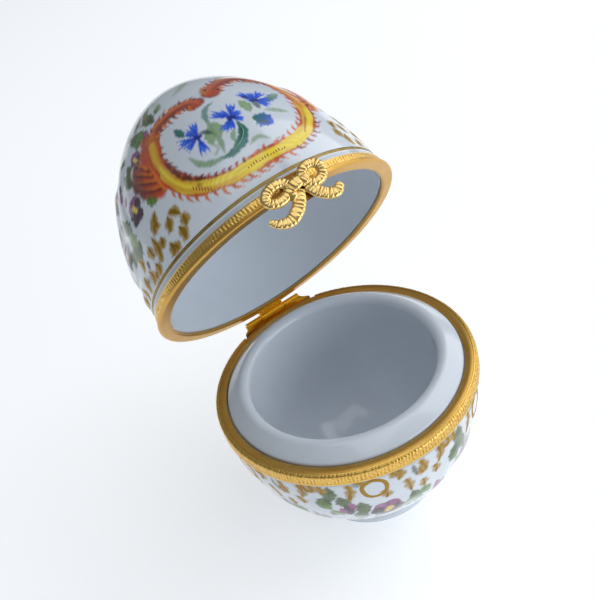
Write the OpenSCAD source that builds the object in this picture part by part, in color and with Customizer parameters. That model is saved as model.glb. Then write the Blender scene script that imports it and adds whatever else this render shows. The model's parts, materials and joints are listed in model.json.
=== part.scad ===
// Egg-shaped porcelain trinket box: a cup and a domed lid, each bound with a brass rim,
// joined by a three-knuckle hinge at the back and closed by a bow-shaped spring clasp at
// the front. Z is up, the foot stands on Z = 0, the clasp faces -Y and the hinge is at +Y.
// The lid is drawn standing open.

/* [Egg] */
// Outer radius of the lid's brass rim, the widest part of the egg
rim_r = 23; // [21:0.5:26]
// Height of the cup's mouth above the surface it stands on
mouth_h = 26.6; // [24:0.1:32]
// Height of the lid's tip above the cup's mouth when it is shut
lid_h = 35.2; // [30:0.1:42]
// Outer radius of the foot ring
foot_r = 12.1; // [10:0.1:14]
// Thickness of the lid's wall
lid_wall = 2.2; // [1.6:0.1:3]
// Angle that the lid stands open, counted from shut
lid_open = 53.7; // [0:0.1:100]

/* [Cup] */
// Radius of the opening inside the lip
cup_r = 16; // [15:0.1:16.5]
// Outer radius of the sloping neck that the lid slips over
neck_r = 20.2; // [19.8:0.1:20.3]
// Height of the lip above the mouth of the brass rim
neck_h = 1.95; // [1.6:0.05:2.1]
// Thickness of the floor of the cup
floor_t = 2.8; // [2:0.1:4]

/* [Brass mounts] */
// Radius of the smooth rim's inner edge on the cup
rim_in = 20.4; // [20.35:0.05:20.6]
// Width of the smooth rim on the lid, seen from below
lid_rim_w = 2.2; // [2:0.05:2.3]
// Depth of a mount from the mouth to the far edge of its engraved strip
mount_d = 1.9; // [1.8:0.05:2.2]
// Gap between the two rims when the lid is shut
rim_gap = 0.4; // [0.25:0.05:0.6]

/* [Hinge] */
// Outer radius of the hinge knuckles
knuckle_r = 0.95; // [0.9:0.01:1]
// Radius of the hinge pin
pin_r = 0.45; // [0.4:0.01:0.5]
// Length of the middle knuckle, which belongs to the lid
mid_len = 5; // [4:0.1:6]
// Length of each outer knuckle, which belong to the cup
end_len = 3.3; // [2.5:0.1:4]

/* [Clasp] */
// Outer radius of each loop of the bow
loop_r = 2.3; // [2:0.05:2.5]
// Thickness of the bow's ribbon
ribbon_t = 1.3; // [1:0.05:1.5]
// Width of the spring tongue behind the bow
tongue_w = 3; // [2:0.1:4]

/* [Hidden] */
$fn = 96;

// The egg's surface next to the mounts, and the two shoulders that hold the mounts
body_r = rim_r - 0.8;
shoulder_r = body_r - 0.6;
shoulder_z = 0.65;
// The wall curves leave the mounts at this distance from the mouth
curve_z = 1.95;
// Full height of the cup's curve, of which the foot ring cuts off the end
cup_curve_h = mouth_h + 2.4;
curve_steps = 24;

// Mount sections: bedding, strip and rim
bed_t = 0.25;
strip_in = shoulder_r + bed_t;
strip_r = rim_r - 0.5;
strip_top = 0.55;
strip_round = 0.5;
rim_under = 0.4;
bead_r = 0.45;

// Foot ring
foot_h = 2.6;
foot_w = 2.2;
foot_recess = 1.7;

// Hinge place and clearances
hinge_y = rim_r + 0.66;
hinge_z = mouth_h - 0.8;
run_clear = 0.04;
swing_clear = 0.22;
knuckle_gap = 0.12;
pin_over = 0.15;
leaf_low = 1.35;
leaf_t = 1.25;
lid_leaf_t = strip_top;
leaf_y = rim_r - 1.5;
leaf_half = mid_len / 2 + knuckle_gap + end_len;
flare_half = leaf_half + 2;

// Clasp depths, measured outward from the front of the rims
tongue_back = 0.3;
tongue_t = 0.35;
bow_back = tongue_back + tongue_t;
nib_reach = 0.16;
rivet_r = 0.45;
rivet_head_r = 1.15;

// Radius of the egg's outline at the fraction s of its height; p and q set its fullness
function egg(s, p, q) = pow(1 - pow(s, p), 1 / q);
// Fractions of a height from 0 to 1 that crowd together towards the tip
function fraction(i) = sin(90 * i / curve_steps);
// Points on an arc, from angle a to angle b
function arc(c, r, a, b, n = 8) =
    [for (i = [0:n]) let (t = a + (b - a) * i / n) [c[0] + r * cos(t), c[1] + r * sin(t)]];

// Carries its children round the hinge from shut to the angle at which the lid stands
module on_lid()
    translate([0, hinge_y, hinge_z])
        rotate([-lid_open, 0, 0])
            translate([0, -hinge_y, mouth_h - hinge_z]) children();

// Turns drawings made for the cup's mount, which hang below Z = 0, into the lid's
module above_gap()
    translate([0, 0, rim_gap])
        mirror([0, 0, 1]) children();

// ---- Mounts, drawn hanging from the mouth at Z = 0 ----

// Plaster that beds a mount on its shoulder: an upright ring and a thin flat one
module bedding(inner_r)
    rotate_extrude()
        polygon([
            [shoulder_r, -mount_d + 0.2],
            [strip_in, -mount_d + 0.2],
            [strip_in, -rim_under],
            [inner_r + 0.3, -rim_under],
            [inner_r + 0.3, -shoulder_z],
            [shoulder_r, -shoulder_z]
        ]);

// Everything that a mount encloses below its rim
module mount_core()
    translate([0, 0, -rim_under - mount_d]) cylinder(r = strip_in, h = mount_d);

// Section of a strip that is engraved all round; top_edge is the outline of its edge at the rim
module strip(top_edge)
    rotate_extrude()
        polygon(concat(
            [[strip_in, -mount_d], [strip_r - 0.15, -mount_d], [strip_r, -mount_d + 0.15]],
            top_edge
        ));

// Smooth rim of the cup: a narrow band, crowned by an arc, inside the engraved strip
module cup_rim() {
    half = (strip_in - rim_in) / 2;
    crown = 1.8;
    rotate_extrude()
        polygon(concat(
            [[rim_in, -rim_under], [rim_in, -0.1]],
            arc([rim_in + half, 0.12 - crown], crown, 111, 69, 8),
            [[strip_in, 0], [strip_in, -rim_under]]
        ));
}

// Smooth rim of the lid: a flat inner margin that swells into a bead round the outside
module lid_rim(inner_r)
    rotate_extrude()
        polygon(concat(
            [[inner_r, -rim_under], [inner_r, -0.1]],
            arc([inner_r + 0.5, -0.4], 0.5, 140, 90, 4),
            arc([rim_r - bead_r, 0.1 - bead_r], bead_r, 90, -25, 8),
            [[strip_in, -strip_top], [strip_in, -rim_under]]
        ));

// Cylinder along the hinge line
module hinge_rod(r, from, to)
    translate([from, hinge_y, hinge_z])
        rotate([0, 90, 0]) cylinder(r = r, h = to - from);

// Room that the hinge knuckles need in the cup's rim
module hinge_notch() {
    hinge_rod(knuckle_r + swing_clear, -mid_len / 2 - knuckle_gap, mid_len / 2 + knuckle_gap);
    hinge_rod(knuckle_r, -leaf_half - knuckle_gap, leaf_half + knuckle_gap);
}

// Outline of the cup's hinge leaf, let into the rim to a flat back edge, with given height
module base_leaf_blank(height)
    translate([0, 0, mouth_h - leaf_low])
        linear_extrude(height)
            polygon(concat(
                arc([-flare_half, hinge_y], flare_half - leaf_half, 0, -62, 6),
                [[-flare_half + 0.6, leaf_y], [flare_half - 0.6, leaf_y]],
                arc([flare_half, hinge_y], flare_half - leaf_half, 242, 180, 6)
            ));

// ---- Cup ----

// Section of the cup: foot ring, egg-shaped wall, shoulder, sloping neck, lip and bowl
module cup_section() {
    inner_h = mouth_h - foot_recess - floor_t;
    last = 0.8;
    neck_round = 0.5;
    lip_round = 1.3;
    slope = 55;
    polygon(concat(
        [[0, foot_recess], [foot_r - foot_w - 0.5, foot_recess]],
        [[foot_r - foot_w, 0], [foot_r - 0.4, 0]],
        arc([foot_r - 0.4, 0.4], 0.4, -90, 0, 4),
        arc([foot_r + 0.9, foot_h - 0.2], 1.35, 228, 170, 5),
        [for (i = [0:curve_steps]) let (s = last * (1 - i / curve_steps))
            [body_r * egg(s, 1.77, 1.98), mouth_h - curve_z - (cup_curve_h - curve_z) * s]],
        [[body_r, mouth_h - mount_d], [shoulder_r, mouth_h - mount_d]],
        [[shoulder_r, mouth_h - shoulder_z], [neck_r, mouth_h - shoulder_z]],
        arc([neck_r - neck_round, mouth_h - 0.05], neck_round, 0, slope, 4),
        arc([cup_r + lip_round, mouth_h + neck_h - lip_round], lip_round, slope, 180, 10),
        [for (i = [0:curve_steps]) let (s = fraction(i))
            [(cup_r + 0.2) * egg(s, 2.3, 2.3), mouth_h - 2 - (inner_h - 2) * s]]
    ));
}

module base_porcelain() color("white") rotate_extrude() cup_section();

module base_cement() color("lightgray") translate([0, 0, mouth_h]) bedding(rim_in);

// The cup's strip wraps over the top of the rim
module base_band() color("goldenrod")
    difference() {
        translate([0, 0, mouth_h])
            strip(concat(
                arc([strip_r - strip_round, 0.1 - strip_round], strip_round, 0, 90, 8),
                [[strip_in, 0.1]]
            ));
        base_leaf_blank(leaf_t + 2);
        hinge_notch();
    }

module base_bezel() color("darkgoldenrod")
    difference() {
        translate([0, 0, mouth_h]) cup_rim();
        base_leaf_blank(leaf_t + 2);
        hinge_notch();
    }

// Flat plate that flares from the two outer knuckles into the cup's rim
module base_hinge_leaf() color("gold")
    difference() {
        base_leaf_blank(leaf_t);
        hinge_notch();
        translate([0, 0, mouth_h]) mount_core();
    }

// Outer hinge tube, bored tight on the pin; side is -1 for the left one and 1 for the right
module end_knuckle(side) {
    near = mid_len / 2 + knuckle_gap;
    from = side < 0 ? -near - end_len : near;
    difference() {
        hinge_rod(knuckle_r, from, from + end_len);
        hinge_rod(pin_r, from - 1, from + end_len + 1);
    }
}

module base_knuckle_left() color("gold") end_knuckle(-1);

module base_knuckle_right() color("gold") end_knuckle(1);

module hinge_pin() color("khaki")
    hinge_rod(pin_r, -leaf_half - pin_over, leaf_half + pin_over);

// ---- Lid, drawn shut and then carried open ----

// Section of the lid: a dome of even thickness whose edge sits in the mount
module lid_section() {
    inner_r = rim_r - lid_rim_w;
    inner_h = lid_h - lid_wall;
    edge_z = rim_gap + shoulder_z;
    polygon(concat(
        [[inner_r, edge_z], [shoulder_r, edge_z], [shoulder_r, rim_gap + mount_d]],
        [[body_r, rim_gap + mount_d]],
        [for (i = [1:curve_steps]) let (s = fraction(i))
            [body_r * egg(s, 1.93, 1.91), curve_z + (lid_h - curve_z) * s]],
        [for (i = [curve_steps:-1:0]) let (s = fraction(i))
            [inner_r * egg(s, 1.93, 1.91), curve_z + (inner_h - curve_z) * s]]
    ));
}

module lid_porcelain() color("white") on_lid() rotate_extrude() lid_section();

module lid_cement() color("lightgray") on_lid() above_gap() bedding(rim_r - lid_rim_w);

module lid_band() color("goldenrod") on_lid() above_gap()
    strip([[strip_r, -strip_top], [strip_in, -strip_top]]);

module lid_bezel() color("darkgoldenrod") on_lid()
    difference() {
        above_gap() lid_rim(rim_r - lid_rim_w);
        lid_leaf_plate(-1);
    }

// Flat plate let into the back of the lid's rim; its underside is at the height low
module lid_leaf_plate(low)
    translate([-mid_len / 2, leaf_y, low])
        cube([mid_len, hinge_y + knuckle_r / 2 - leaf_y, rim_gap + lid_leaf_t - low]);

// The plate, with a lip at its outer edge that reaches down to the middle knuckle
module lid_hinge_leaf() color("gold") on_lid()
    difference() {
        union() {
            lid_leaf_plate(rim_gap);
            translate([-mid_len / 2, hinge_y - 0.75, hinge_z - mouth_h + 0.5])
                cube([mid_len, 0.75 + knuckle_r / 2, rim_gap + 0.6]);
        }
        translate([0, 0, -mouth_h]) hinge_rod(knuckle_r, -mid_len, mid_len);
        above_gap() mount_core();
    }

module lid_knuckle() color("gold")
    difference() {
        hinge_rod(knuckle_r, -mid_len / 2, mid_len / 2);
        hinge_rod(pin_r + run_clear, -mid_len, mid_len);
    }

// ---- Clasp, drawn shut: X across, Z = 0 at the mouth, its depth towards -Y ----

// Cylinder that points out of the front, between two depths measured from the rims
module front_rod(r, from, to)
    translate([0, -rim_r - from, 0])
        rotate([90, 0, 0]) cylinder(r = r, h = to - from);

// Spring strip on a pad on the lid's strip, with a nib that snaps under the cup's bead
module clasp_tongue() color("goldenrod") on_lid() {
    pad_z = rim_gap + strip_top + 0.1;
    difference() {
        union() {
            translate([-tongue_w / 2, -rim_r - bow_back, -2.3])
                cube([tongue_w, tongue_t, pad_z + 1.2 + 2.3]);
            translate([-tongue_w / 2, -rim_r - tongue_back - 0.1, pad_z])
                cube([tongue_w, rim_r + tongue_back - strip_r + 0.4, 1.2]);
            translate([-tongue_w / 2, -rim_r - nib_reach, -2])
                rotate([0, 90, 0])
                    cylinder(r = tongue_back - nib_reach + 0.06, h = tongue_w);
        }
        cylinder(r = strip_r, h = 20, center = true);
        front_rod(rivet_r, -1, 3);
    }
}

// One loop of the bow, a ring of round ribbon centred at x
module bow_loop(x)
    translate([x, -rim_r - bow_back - ribbon_t / 2, 0.2])
        rotate([90, 0, 0])
            rotate_extrude() translate([loop_r - ribbon_t / 2, 0]) circle(d = ribbon_t, $fn = 32);

// One tail of the bow: an arc of ribbon about the centre (x, z), from angle a, turning by b
module bow_tail(x, z, r, a, b)
    translate([x, -rim_r - bow_back - ribbon_t / 2, z])
        rotate([90, 0, 0]) rotate([0, 0, a])
            rotate_extrude(angle = b) translate([r, 0]) circle(d = ribbon_t - 0.2, $fn = 32);

module clasp_bow() color("gold") on_lid()
    difference() {
        union() {
            bow_loop(-2.75);
            bow_loop(2.75);
            bow_tail(-3.6, -1.2, 2.9, -165, 170);
            bow_tail(3.7, -1.4, 2.6, -185, 165);
            front_rod(1.2, bow_back, bow_back + ribbon_t - 0.1);
        }
        front_rod(rivet_r, -1, 6);
    }

// Rivet through the tongue and the bow; its domed head is the knot
module clasp_rivet() color("gold") on_lid() {
    head = bow_back + ribbon_t - 0.1;
    front_rod(rivet_r, tongue_back, head + 0.1);
    intersection() {
        translate([0, -rim_r - head + 0.5, 0]) sphere(r = rivet_head_r, $fn = 48);
        front_rod(rivet_head_r, head, head + 2);
    }
}

base_porcelain();
base_cement();
base_band();
base_bezel();
base_hinge_leaf();
base_knuckle_left();
base_knuckle_right();
hinge_pin();
lid_porcelain();
lid_cement();
lid_band();
lid_bezel();
lid_hinge_leaf();
lid_knuckle();
clasp_tongue();
clasp_bow();
clasp_rivet();
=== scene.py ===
"""An egg-shaped porcelain trinket box: the painted shells, the raised enamel and gilding, the
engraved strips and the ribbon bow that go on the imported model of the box, and a plain studio."""

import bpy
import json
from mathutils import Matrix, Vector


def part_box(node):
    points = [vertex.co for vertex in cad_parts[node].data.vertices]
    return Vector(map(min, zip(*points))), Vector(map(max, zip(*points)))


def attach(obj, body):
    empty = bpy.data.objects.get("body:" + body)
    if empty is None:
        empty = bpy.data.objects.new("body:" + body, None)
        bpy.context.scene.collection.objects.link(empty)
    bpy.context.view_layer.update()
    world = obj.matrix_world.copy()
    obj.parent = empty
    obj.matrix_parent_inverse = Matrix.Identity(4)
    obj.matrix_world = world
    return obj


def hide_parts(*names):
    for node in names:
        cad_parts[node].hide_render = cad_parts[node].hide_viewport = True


bl_info = {
    "name": "Porcelain trinket egg",
    "version": (1, 0, 0),
    "blender": (4, 5, 0),
    "location": "View3D > Sidebar > Trinket egg",
    "description": "Builds the painted porcelain, brass mounts and bow of a hinged egg box",
    "category": "Add Mesh",
}

import functools
import json
import math

import bpy
import numpy as np
from mathutils import Matrix, Vector

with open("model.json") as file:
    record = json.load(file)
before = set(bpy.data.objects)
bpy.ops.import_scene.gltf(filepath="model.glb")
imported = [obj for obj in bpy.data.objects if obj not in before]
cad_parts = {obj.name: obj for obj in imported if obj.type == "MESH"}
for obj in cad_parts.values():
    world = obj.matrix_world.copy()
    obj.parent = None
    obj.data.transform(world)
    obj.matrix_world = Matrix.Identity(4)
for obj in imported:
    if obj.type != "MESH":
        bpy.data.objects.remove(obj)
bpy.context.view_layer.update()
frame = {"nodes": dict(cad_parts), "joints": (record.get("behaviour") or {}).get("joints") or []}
MM = 0.001
HINGE = frame["joints"][0]
# Distance from the mouth at which the shells' curved walls begin, in mm
CURVE_START = 1.95
# Powers of the egg's outline for the lid outside and inside, the cup and the bowl
LID_FULLNESS = (1.93, 1.91)
CUP_FULLNESS = (1.77, 1.98)
BOWL_FULLNESS = (2.3, 2.3)
# Steps in which a shell's outline is measured
OUTLINE_STEPS = 3000


# ---- Sizes and colours ----

def shade(red, green, blue):
    """Linear colour of an sRGB one that is given in parts of 255."""
    srgb = np.array([red, green, blue]) / 255
    linear = np.where(srgb <= 0.04045, srgb / 12.92, ((srgb + 0.055) / 1.055) ** 2.4)
    return tuple(linear.tolist())


def length(name, description, default):
    return bpy.props.FloatProperty(
        name=name, description=description, default=default, min=0.0, unit="LENGTH", precision=5
    )


def pigment(name, description, default):
    return bpy.props.FloatVectorProperty(
        name=name, description=description, default=default, size=3, min=0, max=1, subtype="COLOR"
    )


class EggSizes(bpy.types.PropertyGroup):
    """Sizes of the egg's surfaces, in metres."""

    mouth_height: length("Mouth height", "Height of the cup's mouth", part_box("base_band")[1].z - 0.1 * MM)
    strip_radius: length("Strip radius", "Outer radius of the engraved strips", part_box("base_band")[1].x)
    body_radius: length("Body radius", "Radius of the shells beside the strips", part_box("base_porcelain")[1].x)
    strip_edge: length("Strip edge", "Distance from a mount's mouth to the strip's far edge", 1.9 * MM)
    strip_near: length("Strip near edge", "Distance from the lid mount's mouth to its strip", 0.55 * MM)
    shoulder: length("Shoulder", "Depth of the porcelain's shoulder under a mount", 0.65 * MM)
    shoulder_step: length("Shoulder step", "Distance from the body in to the shoulder", 0.6 * MM)
    foot_radius: length("Foot radius", "Outer radius of the foot ring", 12.1 * MM)
    foot_height: length("Foot height", "Height of the foot ring", 2.6 * MM)
    foot_recess: length("Foot recess", "Height of the recess inside the foot ring", 1.7 * MM)
    cup_opening: length("Cup opening", "Radius of the opening inside the lip", 16.0 * MM)
    neck_radius: length("Neck radius", "Outer radius of the neck", 20.2 * MM)
    bowl_depth: length("Bowl depth", "Depth of the bowl below the foot of the lip", 20.1 * MM)
    neck_height: length("Neck height", "Height of the lip above the mouth", 1.95 * MM)
    lid_opening: length("Lid opening", "Radius of the opening inside the lid", 20.8 * MM)
    rim_gap: length("Rim gap", "Gap between the two rims when the lid is shut", 0.4 * MM)
    lid_height: length("Lid height", "Height of the shut lid's tip above the mouth", 35.2 * MM)
    lid_wall: length("Lid wall", "Thickness of the lid's porcelain at its tip", 2.2 * MM)
    relief: length("Relief", "Height of the moulded scrolls under the painting", 0.3 * MM)
    enamel: length("Enamel", "Height of a raised stroke of enamel or gilding", 0.05 * MM)
    engraving: length("Engraving", "Depth of the cuts in the strips", 0.11 * MM)


class EggColours(bpy.types.PropertyGroup):
    """Colours of the glaze, the enamels and the brasses."""

    glaze: pigment("Glaze", "Bluish white glaze", shade(214, 221, 229))
    yellow: pigment("Yellow", "Ribbon round the medallion", shade(246, 218, 50))
    ochre: pigment("Ochre", "Shading of the ribbon", shade(212, 132, 26))
    orange: pigment("Orange", "Pale parts of the feathered scrolls", shade(226, 114, 8))
    flame: pigment("Flame", "Feathered scrolls and the ribbon's edges", shade(194, 72, 2))
    dark_red: pigment("Dark red", "Shade of the feathered scrolls", shade(104, 28, 2))
    sky: pigment("Sky", "Light cornflower petals", shade(70, 130, 244))
    blue: pigment("Blue", "Cornflower petals", shade(26, 84, 222))
    deep_blue: pigment("Deep blue", "Shade of the cornflowers", shade(14, 32, 130))
    teal: pigment("Teal", "Cold green leaves", shade(22, 112, 100))
    deep_teal: pigment("Deep teal", "Shade of the cold green leaves", shade(8, 62, 62))
    sage: pigment("Sage", "Pale green stems", shade(142, 172, 132))
    green: pigment("Green", "Garland leaves", shade(94, 138, 16))
    moss: pigment("Moss", "Dark leaves", shade(72, 104, 8))
    deep_moss: pigment("Deep moss", "Shade of the dark leaves", shade(38, 54, 2))
    plum: pigment("Plum", "Dark pansy petals", shade(54, 14, 36))
    mauve: pigment("Mauve", "Light pansy petals", shade(150, 72, 132))
    primrose: pigment("Primrose", "Pansy centres", shade(240, 210, 96))
    brown: pigment("Brown", "Fine hatching", shade(158, 84, 14))
    # Grey also paints the shade line along each strip's edge.
    grey: pigment("Grey", "Faint sprays and lines", shade(138, 148, 148))
    gilding: pigment("Gilding", "Painted gold", shade(166, 130, 40))
    faded_gold: pigment("Faded gold", "Worn gold line", shade(158, 136, 80))
    engraved: pigment("Engraved brass", "Brass of the strips", shade(236, 194, 104))
    satin: pigment("Satin brass", "Brass of the rims", shade(212, 166, 84))
    bright: pigment("Bright brass", "Brass of the hinge", shade(244, 196, 66))
    # The tongue's brass is darkened to paint the shade of the hollow behind the bow.
    tongue_painted_shade: pigment("Aged brass", "Brass of the tongue behind the bow", shade(140, 96, 36))
    bow: pigment("Bow brass", "Pale brass of the bow", shade(236, 202, 128))
    plaster: pigment("Plaster", "Bedding under the mounts", shade(196, 190, 176))
    floor: pigment("Floor", "Pale studio floor", (0.86, 0.87, 0.88))


def size(name):
    """A size from the sidebar, in millimetres."""
    return getattr(bpy.context.scene.egg_sizes, name) / MM


def tint(name):
    """A colour from the sidebar."""
    return np.array(getattr(bpy.context.scene.egg_colours, name))


# ---- Shader maths ----

class Wire:
    """An output socket of a node. Arithmetic on it adds the Math node that works it out."""

    def __init__(self, finish, socket):
        self.finish = finish
        self.socket = socket

    def _math(self, operation, *values):
        inputs = dict(enumerate(values))
        return self.finish.node("ShaderNodeMath", {"operation": operation}, inputs)

    def __add__(self, other):
        return self._math("ADD", self, other)

    def __mul__(self, other):
        return self._math("MULTIPLY", self, other)

    def __sub__(self, other):
        return self._math("SUBTRACT", self, other)

    def __rsub__(self, other):
        return self._math("SUBTRACT", other, self)

    __radd__ = __add__
    __rmul__ = __mul__

    def step(self, low, high):
        """0 below low and 1 above high, smooth in between."""
        settings = {"interpolation_type": "SMOOTHSTEP"}
        return self.finish.node(
            "ShaderNodeMapRange", settings, {"Value": self, "From Min": low, "From Max": high}
        )


class Finish:
    """A material under construction, with one Principled shader."""

    def __init__(self, name, **values):
        self.material = bpy.data.materials.new(name)
        self.material.use_nodes = True
        self.tree = self.material.node_tree
        self.tree.nodes.clear()
        self.shader = self.tree.nodes.new("ShaderNodeBsdfPrincipled")
        output = self.tree.nodes.new("ShaderNodeOutputMaterial")
        self.tree.links.new(self.shader.outputs["BSDF"], output.inputs["Surface"])
        self.set(**values)

    def feed(self, socket, value):
        """Links a wire to a socket, or sets the socket's own value."""
        if isinstance(value, Wire):
            self.tree.links.new(value.socket, socket)
        elif hasattr(value, "__len__") and socket.type == "RGBA":
            socket.default_value = (*value[:3], 1.0)
        else:
            socket.default_value = value

    def node(self, kind, settings=None, inputs=None, output=0):
        """Adds a node: its settings first, then the values or wires of its sockets."""
        made = self.tree.nodes.new(kind)
        for key, value in (settings or {}).items():
            setattr(made, key, value)
        for key, value in (inputs or {}).items():
            self.feed(made.inputs[key], value)
        return Wire(self, made.outputs[output])

    def attribute(self, name, output="Color"):
        return self.node("ShaderNodeAttribute", {"attribute_name": name}, output=output)

    def place(self):
        """Object coordinates."""
        return self.node("ShaderNodeTexCoord", output="Object")

    def noise(self, scale, detail=2.0, output="Fac"):
        inputs = {"Vector": self.place(), "Scale": scale, "Detail": detail}
        return self.node("ShaderNodeTexNoise", inputs=inputs, output=output)

    def mix(self, amount, first, second, blend="MIX"):
        """A colour between the first and the second."""
        settings = {"data_type": "RGBA", "blend_type": blend}
        return self.node("ShaderNodeMix", settings, {0: amount, 6: first, 7: second}, output=2)

    def bump(self, height, strength, distance):
        inputs = {"Height": height, "Strength": strength, "Distance": distance}
        return self.node("ShaderNodeBump", inputs=inputs, output="Normal")

    def set(self, **values):
        """Feeds the shader's sockets, which are named in small letters, and gives the material."""
        for socket, value in values.items():
            self.feed(self.shader.inputs[socket.replace("_", " ").title()], value)
        return self.material


@functools.cache
def painted_glaze():
    """Clear glossy glaze over the painting, with a slight orange peel and faint unevenness."""
    finish = Finish("painted_glaze", coat_weight=0.35, coat_roughness=0.04)
    wave = finish.noise(90.0, 1.0)
    cloud = finish.noise(260.0, 3.0)
    colour = finish.mix(cloud.step(0.35, 0.75) * 0.06, finish.attribute("paint"), (0.45, 0.5, 0.55))
    finish.set(base_color=colour, roughness=0.09 + cloud * 0.08)
    return finish.set(normal=finish.bump(wave, 0.25, 0.0006))


@functools.cache
def enamel():
    """Glossy fired colour of the raised strokes, a little uneven."""
    finish = Finish("enamel", coat_weight=0.2, coat_roughness=0.08)
    cloud = finish.noise(900.0, 2.0)
    colour = finish.mix(cloud.step(0.4, 0.7) * 0.22, finish.attribute("paint"), (0.9, 0.8, 0.7), "MULTIPLY")
    return finish.set(base_color=colour, roughness=0.2 + cloud * 0.15)


@functools.cache
def painted_gold():
    """Burnished paint gold: metallic, with brushed unevenness and worn brown patches."""
    finish = Finish("painted_gold", metallic=0.75)
    cloud = finish.noise(700.0, 3.0)
    grain = finish.noise(3500.0, 2.0)
    colour = finish.mix(cloud.step(0.45, 0.75) * 0.6, finish.attribute("paint"), shade(130, 84, 28))
    finish.set(base_color=colour, roughness=0.28 + grain * 0.25)
    return finish.set(normal=finish.bump(grain, 0.4, 0.00008))


def brass(name, colour, roughness, grain_scale, tarnish):
    """Brass with a fine grain, a soft tarnish in patches and slightly rippled polish."""
    finish = Finish(name, metallic=1.0)
    cloud = finish.noise(120.0, 3.0)
    grain = finish.noise(grain_scale, 2.0)
    darker = tuple(np.array(colour) * np.array([0.62, 0.5, 0.36]))
    body = finish.mix(cloud.step(0.4, 0.8) * tarnish, colour, darker)
    finish.set(base_color=body, roughness=roughness + grain * 0.12 + cloud * 0.06)
    finish.set(normal=finish.bump(grain, 0.25, 0.00006))
    return finish


@functools.cache
def satin_brass():
    return brass("satin_brass", tint("satin"), 0.24, 1800.0, 0.35).material


# Darker, duller brass for the tongue: the shade of the hollow behind the bow is painted into its colour.
@functools.cache
def shaded_tongue_brass():
    return brass("shaded_tongue_brass", tint("tongue_painted_shade"), 0.35, 1800.0, 0.6).material


@functools.cache
def bright_brass():
    return brass("bright_brass", tint("bright"), 0.13, 1200.0, 0.25).material


def cut_brass(name, colour, roughness):
    """Brass whose cuts, marked by the cut attribute, are darker and duller than its lands."""
    finish = brass(name, colour, roughness, 2600.0, 0.3)
    cut = finish.attribute("cut", output="Fac")
    speck = finish.noise(2200.0, 1.0)
    dark = tuple(np.array(colour) * np.array([0.42, 0.28, 0.14]))
    body = finish.mix(cut.step(0.1, 0.9) * (0.55 + speck * 0.4), colour, dark)
    return finish.set(base_color=body, roughness=roughness + cut * 0.22 + speck * 0.1)


@functools.cache
def engraved_brass():
    return cut_brass("engraved_brass", tint("engraved"), 0.2)


@functools.cache
def ribbed_brass():
    return cut_brass("ribbed_brass", tint("bow"), 0.16)


@functools.cache
def plaster():
    finish = Finish("plaster", roughness=0.85)
    cloud = finish.noise(500.0, 3.0)
    colour = finish.mix(cloud, tint("plaster"), tuple(tint("plaster") * 0.8))
    return finish.set(base_color=colour, normal=finish.bump(cloud, 0.4, 0.0001))


# ---- Meshes ----

def outward(points, faces):
    """Turns the faces round if the volume that they enclose comes out negative. The volume is the
    sum of the tetrahedra between the origin and each face's fan of triangles. faces is a list of
    arrays, each with one row per face."""
    volume = 0
    for block in faces:
        for k in range(1, block.shape[1] - 1):
            a, b, c = (points[block[:, corner]] for corner in (0, k, k + 1))
            volume += np.einsum("ij,ij->i", a, np.cross(b, c)).sum()
    return faces if volume > 0 else [block[:, ::-1] for block in faces]


def add_piece(name, points, faces, material, body, paint=None, cut=None, crease=35):
    """Makes a smooth-shaded mesh from points in millimetres and hangs it on a body of the frame.
    paint is a colour and cut a number for each point; edges sharper than crease stay sharp."""
    mesh = bpy.data.meshes.new(name)
    corners = [face for block in outward(points, faces) for face in block.tolist()]
    mesh.from_pydata(points * MM, [], corners)
    mesh.polygons.foreach_set("use_smooth", np.ones(len(mesh.polygons), bool))
    mesh.set_sharp_from_angle(angle=math.radians(crease))
    if paint is not None:
        colours = np.c_[paint, np.ones(len(paint))].astype(np.float32)
        mesh.color_attributes.new("paint", "FLOAT_COLOR", "POINT").data.foreach_set("color", colours.ravel())
    if cut is not None:
        depths = cut.astype(np.float32).ravel()
        mesh.attributes.new("cut", "FLOAT", "POINT").data.foreach_set("value", depths)
    mesh.materials.append(material)
    mesh.validate()
    piece = bpy.data.objects.new(name, mesh)
    bpy.context.scene.collection.objects.link(piece)
    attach(piece, body)
    return piece


def grid_faces(rows, columns, first=0, close_rows=False):
    """Quads between the neighbouring points of rows that close on themselves."""
    row = np.arange(rows if close_rows else rows - 1)[:, None]
    column = np.arange(columns)[None]
    low, high = row * columns, (row + 1) % rows * columns
    after = (column + 1) % columns
    quads = np.stack([low + column, low + after, high + after, high + column], -1)
    return quads.reshape(-1, 4) + first


def turned_solid(rings, first_pole, last_pole):
    """Rings of points, closed by fans on a pole at each end."""
    rows, columns = rings.shape[:2]
    points = np.concatenate([rings.reshape(-1, 3), [first_pole, last_pole]])
    here = np.arange(columns)
    after = np.roll(here, -1)
    last = (rows - 1) * columns
    first_fan = np.stack([np.full(columns, rows * columns), after, here], -1)
    last_fan = np.stack([np.full(columns, rows * columns + 1), last + here, last + after], -1)
    return points, [grid_faces(rows, columns), np.concatenate([first_fan, last_fan])]


def smooth_path(corners, steps):
    """Catmull-Rom curve: it passes through the corners, with the neighbours' chord as tangent."""
    corners = np.asarray(corners, float)
    held = np.concatenate([[2 * corners[0] - corners[1]], corners, [2 * corners[-1] - corners[-2]]])
    place = np.linspace(0, len(corners) - 1, steps)
    k = np.minimum(place.astype(int), len(corners) - 2)
    t = (place - k)[:, None]
    a, b, c, d = held[k], held[k + 1], held[k + 2], held[k + 3]
    return 0.5 * (2 * b + (c - a) * t + (2 * a - 5 * b + 4 * c - d) * t**2 + (3 * b - a - 3 * c + d) * t**3)


# ---- Porcelain surfaces ----

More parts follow.
